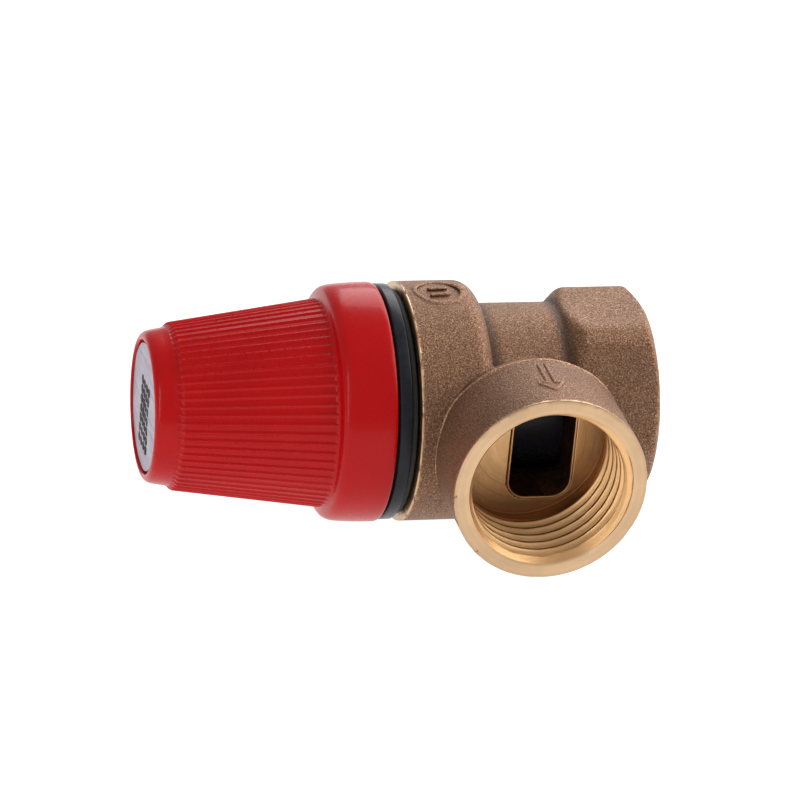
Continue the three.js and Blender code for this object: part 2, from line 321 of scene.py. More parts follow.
# ------------------------------------------------------------------ materials
def cast_brass(name, gain, wear_and_painted_light=1.0):
    """Grit-blasted forged brass: dull brown with fine light and dark grains, painted shade in the hollows
    and the creases, and edges lightened partly as wear and partly as a painted highlight.
    """
    s = Shader(name)
    grain = s.noise(5600, 3, 0.6)
    fine = s.noise(6500, 2, 0.6)
    cloud = s.noise(90, 4, 0.55)
    dark, brown, tan, light = (
        (0.080, 0.038, 0.020),
        (0.180, 0.094, 0.055),
        (0.275, 0.155, 0.092),
        (0.54, 0.37, 0.25),
    )
    base = s.ramp(grain, [(0.31, dark), (0.46, brown), (0.58, tan), (0.73, light)])
    tint = s.ramp(cloud, [(0.35, (0.82, 0.80, 0.80)), (0.65, (1.08, 1.04, 1.0))])
    base = s.mix(0.75, base, tint, "MULTIPLY")
    specks = s.ramp(fine, [(0.66, grey(0.0)), (0.74, grey(1.0))])
    base = s.mix(s.math("MULTIPLY", specks, 0.35), base, (0.60, 0.46, 0.36))
    # painted shade darkens the hollows, and the edges are lighter, partly as wear and partly as a painted
    # highlight, with a ragged border
    bend = s.node("ShaderNodeNewGeometry").outputs["Pointiness"]
    bend = s.math("ADD", bend, s.math("MULTIPLY", s.math("SUBTRACT", grain, 0.5), 0.06))
    hollow, plain, edge = grey(0.42), grey(1.0), (2.1, 2.0, 1.9)
    shade = s.ramp(bend, [(0.41, hollow), (0.485, plain), (0.512, plain), (0.56, edge)])
    base = s.mix(wear_and_painted_light, base, shade, "MULTIPLY")
    base = s.mix(1.0, base, gain, "MULTIPLY")
    # painted shade: the creases beside the collar, the hexagon and the boss are darkened
    base = s.mix(crease_painted_shade(s), base, (0.045, 0.022, 0.014))
    rough = s.ramp(grain, [(0.35, grey(0.66)), (0.7, grey(0.42))])
    n = s.bump(cloud, 0.25, 0.00012)
    n = s.bump(grain, 0.8, 0.00010, n)
    return s.set(Base_Color=base, Metallic=0.62, Roughness=rough, Normal=n)


def crease_painted_shade(s):
    """How much painted shade darkens the creases beside the collar, the hexagon and the boss."""
    xyz = s.split(s.coords())
    x, y, z = (s.math("MULTIPLY_ADD", xyz[k], 1000.0, -float(OFFSET[k])) for k in range(3))
    about_x, about_y = s.length(y, z), s.length(x, z)
    crease_shade_sum = 0.0
    for along, at, half, radius, reach in (
        (x, COLLAR_SHOULDER + 0.5, 1.5, about_x, 13.8),
        (x, HEX_RAMP - 0.3, 1.2, about_x, 12.7),
        (y, 0.7 - BOSS_BACK, 1.2, about_y, 11.7),
    ):
        crease = s.math("MULTIPLY", s.band(along, at, half), s.math("LESS_THAN", radius, reach))
        crease_shade_sum = s.math("ADD", crease_shade_sum, crease)
    return s.math("MINIMUM", s.math("MULTIPLY", crease_shade_sum, 0.9), 0.8)


def machined_brass(name, axis, tone, rough=(0.24, 0.38), marks=0.22):
    """Turned brass: fine tool rings about X or Y, soft stains."""
    s = Shader(name)
    xyz = s.split(s.coords())
    side, along = (1, 0) if axis == "x" else (0, 1)
    a, b = (s.math("SUBTRACT", xyz[k], float(OFFSET[k] * 0.001)) for k in (side, 2))
    spot = {0: s.length(a, b), 1: xyz[along], 2: 0.0}
    track = s.node("ShaderNodeCombineXYZ", spot).outputs[0]
    rings = s.noise(9000, 3, 0.7, track)
    broad = s.noise(1400, 2, 0.5, track)
    stain = s.noise(160, 4, 0.6)
    base = s.ramp(stain, [(0.35, tuple(0.86 * t for t in tone)), (0.65, tone)])
    base = s.mix(0.35, base, s.ramp(broad, [(0.35, grey(0.72)), (0.65, grey(1.1))]), "MULTIPLY")
    r = s.ramp(rings, [(0.3, grey(rough[0])), (0.7, grey(rough[1]))])
    n = s.bump(broad, 0.18, 0.00004)
    n = s.bump(rings, marks, 0.00004, n)
    return s.set(Base_Color=base, Metallic=1.0, Roughness=r, Normal=n)


def shaded_inner_brass():
    """The rough inner walls, painted dark as the shade inside the chamber."""
    s = Shader("shaded_inner_brass")
    cloud = s.noise(500, 4, 0.6)
    # painted shade: the chamber's walls are coloured near black
    base = s.ramp(cloud, [(0.3, (0.045, 0.021, 0.011)), (0.7, (0.110, 0.052, 0.026))])
    n = s.bump(cloud, 0.3, 0.00006)
    return s.set(Base_Color=base, Metallic=0.5, Roughness=0.6, Normal=n, Specular_IOR_Level=0.2)


def red_plastic():
    s = Shader("red_plastic")
    flow = s.noise(120, 5, 0.55)
    scuff = s.noise(1500, 3, 0.6)
    base = s.ramp(flow, [(0.3, (0.385, 0.001, 0.002)), (0.7, (0.44, 0.002, 0.003))])
    rough = s.ramp(scuff, [(0.35, grey(0.26)), (0.75, grey(0.34))])
    n = s.bump(flow, 0.12, 0.00006)
    n = s.bump(scuff, 0.06, 0.00002, n)
    return s.set(
        Base_Color=base,
        Metallic=0.0,
        Roughness=rough,
        Normal=n,
        Specular_IOR_Level=0.12,
        Coat_Weight=0.1,
        Coat_Roughness=0.08,
    )


def black_plastic():
    s = Shader("black_plastic")
    cloud = s.noise(300, 4, 0.6)
    base = s.ramp(cloud, [(0.3, (0.007, 0.008, 0.011)), (0.7, (0.015, 0.016, 0.022))])
    rough = s.ramp(s.noise(1800, 3, 0.6), [(0.35, grey(0.26)), (0.75, grey(0.38))])
    n = s.bump(cloud, 0.12, 0.00005)
    return s.set(Base_Color=base, Roughness=rough, Normal=n, Specular_IOR_Level=0.18)


def rubber():
    s = Shader("rubber")
    grain = s.noise(2500, 4, 0.6)
    base = s.ramp(grain, [(0.3, grey(0.008)), (0.7, grey(0.02))])
    return s.set(Base_Color=base, Roughness=0.72, Normal=s.bump(grain, 0.25, 0.00003))


def steel():
    s = Shader("steel")
    cloud = s.noise(400, 4, 0.6)
    base = s.ramp(cloud, [(0.3, (0.44, 0.45, 0.47)), (0.7, (0.60, 0.61, 0.62))])
    rough = s.ramp(s.noise(2500, 3, 0.6), [(0.3, grey(0.24)), (0.7, grey(0.42))])
    return s.set(Base_Color=base, Metallic=1.0, Roughness=rough, Normal=s.bump(cloud, 0.1, 0.00004))


def label_film():
    s = Shader("label")
    cloud = s.noise(220, 4, 0.6)
    base = s.ramp(cloud, [(0.3, (0.20, 0.165, 0.225)), (0.7, (0.28, 0.235, 0.305))])
    drawn = s.node("ShaderNodeMapping", {"Vector": s.coords(), "Scale": (1, 0.12, 1.6)}).outputs[0]
    scratch = s.noise(900, 2, 0.5, drawn)
    rough = s.ramp(scratch, [(0.4, grey(0.30)), (0.7, grey(0.48))])
    return s.set(Base_Color=base, Roughness=rough, Normal=s.bump(cloud, 0.15, 0.00005), Metallic=0.25)


def ink():
    s = Shader("ink")
    base = s.ramp(s.noise(4000, 2), [(0.3, grey(0.006)), (0.8, grey(0.02))])
    n = s.bump(s.noise(3000, 2), 0.1, 0.00002)
    return s.set(Base_Color=base, Roughness=0.6, Specular_IOR_Level=0.15, Normal=n)


FACE_TONE = (0.59, 0.395, 0.235)
BORE_TONE = (0.82, 0.50, 0.235)
CAST = cast_brass("cast_brass", (0.98, 0.93, 0.87))
# worn brass painted lighter than the casting as a highlight, for the boss's edge
WORN_HIGHLIT_BRASS = cast_brass("worn_highlit_cast_brass", (0.98, 1.05, 1.1))
# the marks are lighter than the casting and take a quarter of the hollow shade and edge lightening
MARK = cast_brass("cast_marks", (1.12, 1.12, 1.1), 0.25)
FACE_Y = machined_brass("outlet_face_brass", "y", FACE_TONE, (0.3, 0.42), 0.1)
FACE_X = machined_brass("inlet_face_brass", "x", FACE_TONE, (0.3, 0.42), 0.1)
MACHINED_Y = machined_brass("machined_brass_outlet", "y", BORE_TONE, (0.34, 0.5), 0.6)
MACHINED_X = machined_brass("machined_brass_inlet", "x", BORE_TONE, (0.34, 0.5), 0.6)
INNER_SHADE_BRASS = shaded_inner_brass()
RELIEF = machined_brass("relief_brass", "y", (0.34, 0.17, 0.075), (0.35, 0.5), 0.85)
TURNED = machined_brass("turned_brass", "x", (0.84, 0.66, 0.38))
RED = red_plastic()
BLACK = black_plastic()
RUBBER = rubber()
STEEL = steel()
LABEL = label_film()
INK = ink()


# ------------------------------------------------------------------ brass body
def smin(a, b, k):
    """The smaller of two distances, with the change from one to the other rounded over k."""
    h = np.clip(0.5 + 0.5 * (b - a) / k, 0, 1)
    return b + (a - b) * h - k * h * (1 - h)


def smax(a, b, k):
    return -smin(-a, -b, k)


def rod_sdf(s, r, s0, s1, radius, edge):
    """A rod between s0 and s1 with rounded ends' edges."""
    half = (s1 - s0) / 2
    ds = np.abs(s - (s0 + s1) / 2) - (half - edge)
    dr = r - (radius - edge)
    return np.minimum(np.maximum(ds, dr), 0) + np.hypot(np.maximum(ds, 0), np.maximum(dr, 0)) - edge


def hexagon_sdf(x, y, z, rx):
    """The inlet's hexagon: corners turned down, a ramp up from the neck and a chamfered nose."""
    slanted = np.abs(y) * math.cos(math.pi / 6) + np.abs(z) * 0.5
    flats = np.maximum(np.abs(z), slanted) - HALF_FLATS
    ramp = rx - NECK_R - (x - HEX_RAMP) * 1.05
    nose = rx - 11.85 - (INLET_FACE - x) * 2.1
    hexagon = smax(flats, rx - CORNER_R, 0.3)
    return smax(smax(hexagon, ramp * 0.69, 0.45), nose * 0.43, 0.35)


def window_sdf(x, y, z):
    """The window with rounded corners from the outlet's floor to the chamber."""
    wide, tall = WINDOW_HALF
    qx = np.abs(x - WINDOW_X) - wide + WINDOW_CORNER
    qz = np.abs(z) - tall + WINDOW_CORNER
    outside = np.hypot(np.maximum(qx, 0), np.maximum(qz, 0))
    slot = outside + np.minimum(np.maximum(qx, qz), 0) - WINDOW_CORNER
    return np.maximum(np.maximum(slot, y + 3), -13 - y)


def chamber_sdf(x, rx):
    """The chamber with its raised seat, the inlet's hole, the diaphragm's ledge and the mouth."""
    chamber = np.maximum(np.maximum(rx - CHAMBER_R, x - CHAMBER_END), -9 - x)
    seat_r = np.interp(x, [SEAT_X, CHAMBER_END], [6.9, 7.1])
    chamber = np.maximum(chamber, -np.maximum(rx - seat_r, SEAT_X - x))
    chamber = np.minimum(chamber, np.maximum(rx - ORIFICE_R, 3 - x))
    chamber = np.maximum(chamber, x - 9)
    ledge = np.maximum(np.maximum(rx - LEDGE_R, x - LEDGE_X), -12 - x)
    mouth = np.maximum(rx - MOUTH_R, x - MOUTH_X)
    return np.minimum(np.minimum(chamber, ledge), mouth)


def body_sdf(p):
    """Distance from the casting's surface, below 0 in the brass."""
    x, y, z = p[..., 0], p[..., 1], p[..., 2]
    rx, ry = np.hypot(y, z), np.hypot(x, z)
    # the collar and the boss run on past their faces, which are cut afterwards
    collar = rod_sdf(x, rx, -24.0, COLLAR_SHOULDER, COLLAR_R, 2.2)
    boss = rod_sdf(-y, ry, BOSS_BACK, 40.0, BOSS_R, 0.3)
    neck = rod_sdf(x, rx, -8.0, 13.0, NECK_R, 0.5)
    stub = ry - STUB_R + np.maximum(y + 11.7, 0) * 0.5
    stub = np.maximum(np.maximum(stub, -14.2 - y) * 0.9, y)
    d = smin(smin(neck, stub, 0.5), collar, 0.25)
    d = smin(d, hexagon_sdf(x, y, z, rx), 0.2)
    d = smin(d, boss, 0.15)
    # the flat pad inside the ring mark
    from_mark = np.hypot(x - RING_MARK[0], y - RING_MARK[1])
    d = smax(d, -np.maximum(from_mark - RING_MARK_R, 14.66 - z), 0.12)
    # the three faces, a little behind those of the turned sleeves and rim
    d = smax(d, COLLAR_FACE - x, 0.08)
    d = smax(d, x - 17.0, 0.1)
    d = smax(d, -24.74 - y, 0.1)
    # the hollows
    d = np.maximum(d, -np.maximum(ry - SLEEVE_R, y + OUTLET_FLOOR))
    d = np.maximum(d, -np.maximum(rx - SLEEVE_R, INLET_FLOOR - x))
    d = smax(d, -window_sdf(x, y, z), 0.3)
    return np.maximum(d, -chamber_sdf(x, rx))


def edge_crossings(f, grid, h):
    """Per cell of the grid, the mean of the points where its edges cross the surface."""
    inside = f < 0
    cells = tuple(n - 1 for n in f.shape)
    total, count = np.zeros((*cells, 3)), np.zeros(cells)
    for axis in range(3):
        a = [slice(None)] * 3
        b = [slice(None)] * 3
        a[axis], b[axis] = slice(0, -1), slice(1, None)
        fa, fb = f[tuple(a)], f[tuple(b)]
        cross = inside[tuple(a)] != inside[tuple(b)]
        t = np.where(cross, fa / np.where(cross, fa - fb, 1), 0)
        point = grid[tuple(a)].copy()
        point[..., axis] += t * h
        others = [k for k in range(3) if k != axis]
        for du in (0, 1):
            for dv in (0, 1):
                s = [slice(None)] * 3
                for k, o in zip(others, (du, dv)):
                    s[k] = slice(o, o + cells[k])
                c = cross[tuple(s)]
                total += np.where(c[..., None], point[tuple(s)], 0)
                count += c
    used = count > 0
    return used, total[used] / count[used][:, None]


def crossing_quads(inside, number):
    """A quad round each inner edge of the grid that crosses the surface."""
    quads = []
    for axis in range(3):
        u, w = [k for k in range(3) if k != axis]
        a = [slice(1, -1)] * 3
        a[axis] = slice(0, -1)
        b = list(a)
        b[axis] = slice(1, None)
        at = np.argwhere(inside[tuple(a)] != inside[tuple(b)])
        at[:, u] += 1
        at[:, w] += 1
        corner = []
        for du, dv in ((0, 0), (1, 0), (1, 1), (0, 1)):
            c = at.copy()
            c[:, u] -= du
            c[:, w] -= dv
            corner.append(number[c[:, 0], c[:, 1], c[:, 2]])
        quads.append(np.stack(corner, 1))
    return np.vstack(quads)


def surface_nets(sdf, lo, hi, h):
    """Quads round the zero surface of sdf, with points moved onto it."""
    axes = [np.arange(a, b + h, h) for a, b in zip(lo, hi)]
    grid = np.stack(np.meshgrid(*axes, indexing="ij"), -1)
    f = sdf(grid)
    used, v = edge_crossings(f, grid, h)
    number = np.full(used.shape, -1)
    number[used] = np.arange(used.sum())
    quads = crossing_quads(f < 0, number)
    e = 0.02
    for _ in range(3):
        base = sdf(v)
        grad = np.stack([(sdf(v + d) - sdf(v - d)) / (2 * e) for d in np.eye(3) * e], 1)
        size = np.maximum((grad**2).sum(1), 0.15)
        step = (base / size)[:, None] * grad
        length = np.linalg.norm(step, axis=1, keepdims=True)
        v -= step * np.minimum(1, 0.4 * h / np.maximum(length, 1e-9))
    return v, quads


def cast_body():
    """The casting, with its bores and its inner walls, painted dark as shade, as their own materials."""
    v, quads = surface_nets(body_sdf, (-14.6, -25.4, -15.6), (17.8, 15.6, 15.8), 0.25)
    x, y, z = v[quads].mean(1).T
    rx, ry = np.hypot(y, z), np.hypot(x, z)
    mats = [CAST, MACHINED_Y, MACHINED_X, INNER_SHADE_BRASS]
    slots = np.zeros(len(quads), int)
    slots[(ry < SLEEVE_R + 0.25) & (y < -11.0)] = mats.index(MACHINED_Y)
    slots[(rx < 11.3) & (x > COLLAR_FACE + 0.35) & (x < 16.9)] = mats.index(MACHINED_X)
    # painted shade: the chamber's walls and the window's sides take the dark inner brass
    slots[(rx < 9.5) & (x < CHAMBER_END + 0.1)] = mats.index(INNER_SHADE_BRASS)
    in_window = (ry < 8.5) & (x < CHAMBER_END + 0.3) & (y < -7) & (y > 0.05 - OUTLET_FLOOR)
    slots[in_window] = mats.index(INNER_SHADE_BRASS)
    slots[(ry < SLEEVE_R + 0.25) & (y < 0.02 - OUTLET_FLOOR)] = mats.index(MACHINED_Y)
    return make("cast_body", v, quads, mats, slots, 38)


def ridge(name, path, height, width):
    """A low rounded bead along a path of (x, y) on top of the collar or the boss."""
    arch = 9
    p = np.array(path, float)
    seg = np.linalg.norm(np.diff(p, axis=0), axis=1)
    at = np.concatenate([[0], np.cumsum(seg)])
    t = np.linspace(0, at[-1], max(4, int(at[-1] / 0.12)))
    q = np.stack([np.interp(t, at, p[:, k]) for k in (0, 1)], 1)
    way = np.gradient(q, axis=0)
    way /= np.linalg.norm(way, axis=1, keepdims=True)
    side = np.stack([-way[:, 1], way[:, 0]], 1)
    size = np.sqrt(np.clip(np.minimum(t, t[-1] - t) / 0.2 + 0.05, 0, 1))
    wobble = 1 + 0.18 * np.sin(t * 5.1 + 1) * np.sin(t * 2.3)
    v = []
    for a in np.pi * np.arange(arch) / (arch - 1):
        xy = q + side * (-np.cos(a) * width / 2 * size)[:, None]
        on_collar = xy[:, 1] > -5
        across = np.where(on_collar, xy[:, 1], xy[:, 0])
        surface = np.sqrt(np.where(on_collar, COLLAR_R, BOSS_R) ** 2 - across**2)
        z = surface - 0.03 + height * np.sin(a) * size * wobble
        v.append(np.column_stack([xy, z]))
    low = np.minimum(v[0][:, 2], v[-1][:, 2]) - 0.2
    v.append(np.column_stack([q, low]))
    v = np.stack(v, 1).reshape(-1, 3)
    return make(name, v, tube_faces(len(t), arch + 1), [MARK], None, 60)


def marks():
    """Cast-in marks: a ring with two plain bars on the collar, and the flow arrow on the boss."""
    mid_x, mid_y = RING_MARK
    turn = np.linspace(0, 2 * np.pi, 60)
    ring = np.stack([mid_x + RING_MARK_R * np.cos(turn), mid_y + RING_MARK_R * np.sin(turn)], 1)
    beads = [ridge("ring_mark", ring, 0.18, 0.7)]
    for k, y in enumerate((mid_y - 1.0, mid_y + 0.7)):
        beads.append(ridge(f"bar_{k}", [(mid_x - 1.3, y), (mid_x + 1.3, y + 0.2)], 0.18, 0.5))
    tail, neck, tip = -14.9, -19.9, (0.05, -22.0)
    for side, inner, outer in (("left", -0.4, -1.5), ("right", 0.5, 1.6)):
        half = [(inner, tail), (inner, neck), (outer, neck), tip]
        beads.append(ridge(f"arrow_{side}", half, 0.22, 0.5))
    return beads


def bead(name, path, size, mat):
    """A closed round bead along points that lie about the Y axis; its thickness can vary."""
    sides = 10
    way = np.roll(path, -1, 0) - np.roll(path, 1, 0)
    way /= np.linalg.norm(way, axis=1, keepdims=True)
    out = np.cross(way, [0.0, 1.0, 0.0])
    b = around(sides)
    along = np.array([0.0, 1.0, 0.0]) * np.sin(b)[:, None]
    v = path[:, None] + size[:, None, None] * (out[:, None] * np.cos(b)[:, None] + along)
    faces = grid_faces(len(path), sides, close_rows=True)
    return make(name, v.reshape(-1, 3), faces, [mat], None, 60)


def boss_edge():
    """The edge where the outlet's boss stands out of the collar and the neck: worn, and lighter as a
    painted highlight.
    """
    a = around(300)
    radius, sunk = BOSS_R - 0.02, BOSS_R - 0.26
    x, z = radius * np.cos(a), radius * np.sin(a)
    on_collar = (x < 0) & (np.abs(z) < 6.1)
    reach = np.sqrt(np.maximum(COLLAR_R**2 - z**2, 0))
    y = -np.where(on_collar, reach, BOSS_BACK + 0.12)
    y = np.convolve(np.concatenate([y[-4:], y, y[:4]]), np.ones(9) / 9, "valid")
    size = 0.36 + 0.07 * np.sin(7 * a + 1) * np.sin(3 * a)
    path = np.stack([sunk / radius * x, y, sunk / radius * z], 1)
    return bead("boss_edge", path, size, WORN_HIGHLIT_BRASS)


def window_edge():
    """The clean edge of the window in the outlet's floor."""
    wide, tall = (half - WINDOW_CORNER for half in WINDOW_HALF)
    path = []
    for k, (sx, sz) in enumerate(((1, 1), (-1, 1), (-1, -1), (1, -1))):
        for a in np.linspace(k * np.pi / 2, (k + 1) * np.pi / 2, 14):
            x = WINDOW_X + sx * wide + WINDOW_CORNER * math.cos(a)
            path.append((x, -OUTLET_FLOOR - 0.03, sz * tall + WINDOW_CORNER * math.sin(a)))
    path = np.array(path)
    return bead("window_edge", path, np.full(len(path), 0.17), MACHINED_Y)


def thread_radius(s, theta, turns_end, relief_end):
    """Radius of the bore at depth s below the face: mouth chamfer, rounded turns, relief groove."""
    first_turn = 0.9
    flat = 0.14
    flank = 0.38
    mouth = 10.2
    phase = np.mod((s - first_turn) / PITCH - theta / (2 * np.pi), 1.0)
    up = np.clip((phase - flat) / flank, 0, 1)
    down = np.clip((1 - phase) / flank, 0, 1)
    groove = np.minimum(up, down)
    groove = groove * groove * (3 - 2 * groove)
    fade = np.clip((turns_end - s) / 1.2, 0, 1)
    r = CREST_R + (ROOT_R - CREST_R) * groove * fade
    r = np.maximum(r, mouth - s * 0.8)
    relief = np.clip((s - turns_end) / 0.25, 0, 1)
    return r + (RELIEF_R - CREST_R) * relief * (s < relief_end)


def nicks(sides, count, depth, width, deepest):
    """Small nicks at random places round an edge: how deep each of its points is."""
    th = around(sides)
    total = np.zeros(sides)
    for _ in range(count):
        gap = np.angle(np.exp(1j * (th - RNG.uniform(0, 2 * np.pi))))
        total += RNG.uniform(*depth) * np.exp(-((gap / RNG.uniform(*width)) ** 2))
    return np.minimum(total, deepest)


def sleeve(name, axis, face, floor, turns_end, mat, face_mat, outer):
    """The machined face and the threaded bore of one socket, about X or about the outlet's axis."""
    sides = 360
    th = around(sides)
    chips = nicks(sides, 22, (0.02, 0.14), (0.012, 0.08), 0.25)
    edge = [
        (0.45, outer, 0),
        (0.06, outer - 0.02, 0.5),
        (0.0, outer - 0.12, 1),
        (0.0, 11.2, 0),
        (0.0, ROOT_R, 0),
    ]
    rows = [np.stack([s + 0.5 * w * chips, r - w * chips], 1) for s, r, w in edge]
    for s in np.arange(0.05, floor, 0.085):
        rows.append(np.stack([np.full(sides, s), thread_radius(s, th, turns_end, floor)], 1))
    for s, r in ((floor, RELIEF_R - 0.1), (floor + 0.05, SLEEVE_R + 0.15)):
        rows.append(np.stack([np.full(sides, s), np.full(sides, r)], 1))
    g = np.stack(rows)
    depth = g[:-1, 0, 0]
    on_face = np.arange(len(depth)) < len(edge) - 1
    slots = np.repeat(np.where(on_face, 2, np.where(depth > turns_end, 1, 0)), sides)
    v = revolved(face - g[..., 0], g[..., 1])
    if axis == "y":
        v = v[:, (1, 0, 2)] * (1, -1, 1)
    return make(name, v, grid_faces(len(rows), sides), [mat, RELIEF, face_mat], slots, 30)


def collar_rim():
    """The collar's turned end: a bright edge with small nicks, next to the black ring."""
    chips = nicks(360, 40, (0.02, 0.1), (0.01, 0.05), 0.15)
    front, back, inner = COLLAR_FACE - 0.07, COLLAR_FACE + 0.25, 12.6
    section = [
        (front, inner, 0),
        (front, COLLAR_R - 0.09, 1),
        (front + 0.08, COLLAR_R + 0.01, 1),
        (front + 0.2, COLLAR_R + 0.015, 0.6),
        (back, COLLAR_R - 0.03, 0),
        (back, inner, 0),
    ]
    x = np.stack([x + 0.6 * w * chips for x, r, w in section])
    r = np.stack([r - w * chips for x, r, w in section])
    faces = grid_faces(*x.shape, close_rows=True)
    return make("collar_rim", revolved(x, r), faces, [FACE_X], None, 50)


def valve_body():
    """The casting with its two machined sockets, worn edges, the boss's edge lighter as a painted
    highlight, and marks.
    """
    depth = OUTLET_FACE - OUTLET_FLOOR
    outlet = sleeve("outlet_sleeve", "y", OUTLET_FACE, depth, OUTLET_TURNS, MACHINED_Y, FACE_Y, BOSS_R)
    depth = INLET_FACE - INLET_FLOOR
    inlet = sleeve("inlet_sleeve", "x", INLET_FACE, depth, INLET_TURNS, MACHINED_X, FACE_X, 11.9)
    edges = [collar_rim(), boss_edge(), window_edge()]
    return joined("brass_body", [cast_body(), outlet, inlet, *edges, *marks()])


# ------------------------------------------------------------------ knob and bonnet
def ramp_tooth(name, quarter, span, radii, back, gap, mat):
    """One of four ramps about X: its back is flat and its face slopes with the angle."""
    v, n = [], 24
    r0, r1 = radii
    for i in range(n + 1):
        turn = span[0] + (span[1] - span[0]) * i / n
        face = RAMP_X - RAMP_RISE * (90 - turn) / 90 - gap
        t = math.radians(90 * quarter + turn)
        for x, r in ((back, r0), (back, r1), (face, r1), (face, r0)):
            v.append((x, r * math.cos(t), r * math.sin(t)))
    return make(name, np.array(v), tube_faces(n + 1, 4), [mat])


def knob_outline():
    """The knob's section from its open end round its face and back inside, and which points have ribs."""
    flange = [
        (-17.0, 14.2),
        (-16.85, 14.35),
        (-16.85, 14.62),
        (-16.92, 14.8),
        (-17.15, 14.89),
        (-17.6, 14.9),
        (-18.8, 14.88),
        (-20.0, 14.84),
        (-21.5, 14.74),
        (-22.3, 14.64),
        (-22.8, 14.5),
        (-23.15, 14.3),
        (-23.38, 14.03),
        (-23.5, 13.7),
        (-23.62, 13.3),
        (-23.72, 13.05),
    ]
    near = np.linspace(-23.8, -24.6, 9)
    middle = np.linspace(-25.2, -41.0, 26)
    far = np.linspace(-41.4, -42.75, 14)
    cone = [(x, 12.84 + (x + 24.8) * 0.1405) for x in np.concatenate([near, middle, far])]
    end = [(-42.95, 9.86), (-43.2, 9.72), (-43.8, 9.63), (-44.4, 9.53), (-44.9, 9.42), (-45.25, 9.28)]
    lip = [(-45.5, 9.08), (-45.64, 8.85), (-45.7, 8.6), (-45.68, 8.4), (-45.55, 8.3), (-45.3, 8.26)]
    recess = [(-44.95, 8.25), (-44.9, 8.1), (-44.9, 3.8), (-44.8, 3.7), (-42.5, 3.7), (-42.4, 3.6)]
    stem_hole = [(-42.4, 1.95), (-42.3, 1.9), (-41.0, 1.9), (-40.9, 2.0), (-40.9, 4.9), (-41.0, 5.0)]
    groove = [(-43.6, 5.0), (-43.7, 5.1), (-43.7, 7.4), (-43.6, 7.5), (-42.15, 7.5), (-42.05, 7.6)]
    inside = [(-42.05, 9.05), (-41.9, 9.17), (-25, 11.2), (-23.6, 11.6), (-21.5, 13), (-17.95, 13)]
    mouth = [(-17.85, 13.1), (-17.85, 14.0)]
    points = flange + cone + end + lip + recess + stem_hole + groove + inside + mouth
    number = np.arange(len(points))
    return np.array(points), (number >= len(flange)) & (number < len(flange) + len(cone))


def knob():
    """The knob's ribbed shell, with the four ramps inside its end."""
    sides = RIBS * 20
    p, ribbed = knob_outline()
    x, r, ribbed = p[:, :1], p[:, 1:], ribbed[:, None]
    phase = np.abs(np.mod(around(sides) * RIBS / (2 * np.pi), 1) - 0.5) * 2
    wave = 0.5 + 0.5 * np.cos(np.pi * np.clip(phase / 0.62, 0, 1))
    start = np.clip((-23.85 - x) / 0.35, 0, 1)
    end = np.clip((x + 42.9) / 0.9, 0, 1)
    depth = 0.2 * np.sqrt(start * end) * ribbed * (1 - wave)
    # the ribs' ends round over to the plain band
    over = np.clip((-42.1 - x) / 0.65, 0, 1) * ribbed
    v = revolved(x, r - depth - 0.42 * over**2.2)
    shell = make("knob_shell", v, grid_faces(len(p), sides, close_rows=True), [RED], None, 50)
    teeth = [
        ramp_tooth(f"knob_ramp_{k}", k, (8, 87.5), (7.6, 8.7), -42.5, 0.3, RED) for k in range(4)
    ]
    return joined("red_knob", [shell, *teeth])


def bonnet():
    """The black bonnet with its four ramps, and the thin gasket between its rim and the collar."""
    profile = [
        (-10.4, 8.9),
        (-10.4, 10.6),
        (-10.7, 10.9),
        (-11.6, 10.9),
        (-11.9, 11.9),
        (-14.15, 11.9),
        (-14.15, 13.2),
        (-15.0, 13.2),
        (-15.05, 14.66),
        (-16.4, 14.68),
        (-16.6, 14.4),
        (-16.6, 9.6),
        (-32, 8.9),
        (RAMP_X, 8.8),
        (RAMP_X, 7.5),
        (-14, 7.5),
        (-13, 8.9),
    ]
    shell = turned("bonnet_shell", profile, BLACK, 192, 0.12)
    teeth = [
        ramp_tooth(f"bonnet_ramp_{k}", k, (0.5, 86), (7.5, 8.8), -38.7, 0.0, BLACK) for k in range(4)
    ]
    gasket = turned("gasket", ring_section(-14.95, -14.2, 13.0, 14.1), RUBBER, 192, 0.3)
    return joined("black_bonnet", [shell, gasket, *teeth])


def label_dots():
    """The printed block of round dots, four by seven."""
    sides = 12
    a = around(sides)
    v, f = [], []
    for i in range(4):
        for j in range(7):
            mid_y, mid_z = -0.2 + (i - 1.5) * 1.35, -1.0 + (j - 3) * 1.3
            rad = RNG.uniform(0.55, 0.61)
            base = len(v) * sides
            for x in (LABEL_X - 0.045, LABEL_X + 0.02):
                y, z = mid_y + rad * np.cos(a), mid_z + rad * np.sin(a)
                v.append(np.stack([np.full(sides, x), y, z], 1))
            f.append([base + k for k in range(sides)])
            f += (grid_faces(2, sides) + base).tolist()
    return make("label_print", np.vstack(v), f, [INK])


def label_disc():
    """Printed film: a thin disc that is a little wavy, with a plain block of round dots."""
    rings, sides, back = 28, 128, -45.2
    th = around(sides)
    r = np.concatenate([[0.02], np.linspace(0.3, LABEL_R - 0.15, rings - 2), [LABEL_R]])
    y, z = r[:, None] * np.cos(th), r[:, None] * np.sin(th)
    x = LABEL_X + 0.03 * np.sin(y * 0.9 + 1) * np.cos(z * 0.7)
    top = np.stack([x, y, z], 2).reshape(-1, 3)
    rim = revolved(back, np.full((1, sides), LABEL_R))
    v = np.vstack([top, rim, [[back, 0, 0]], [[LABEL_X, 0, 0]]])
    f = grid_faces(rings + 1, sides).tolist()
    n = rings * sides
    f += [[n + (k + 1) % sides, n + k, n + sides] for k in range(sides)]
    f += [[k, (k + 1) % sides, n + sides + 1] for k in range(sides)]
    return joined("label", [make("label_film", v, f, [LABEL]), label_dots()])


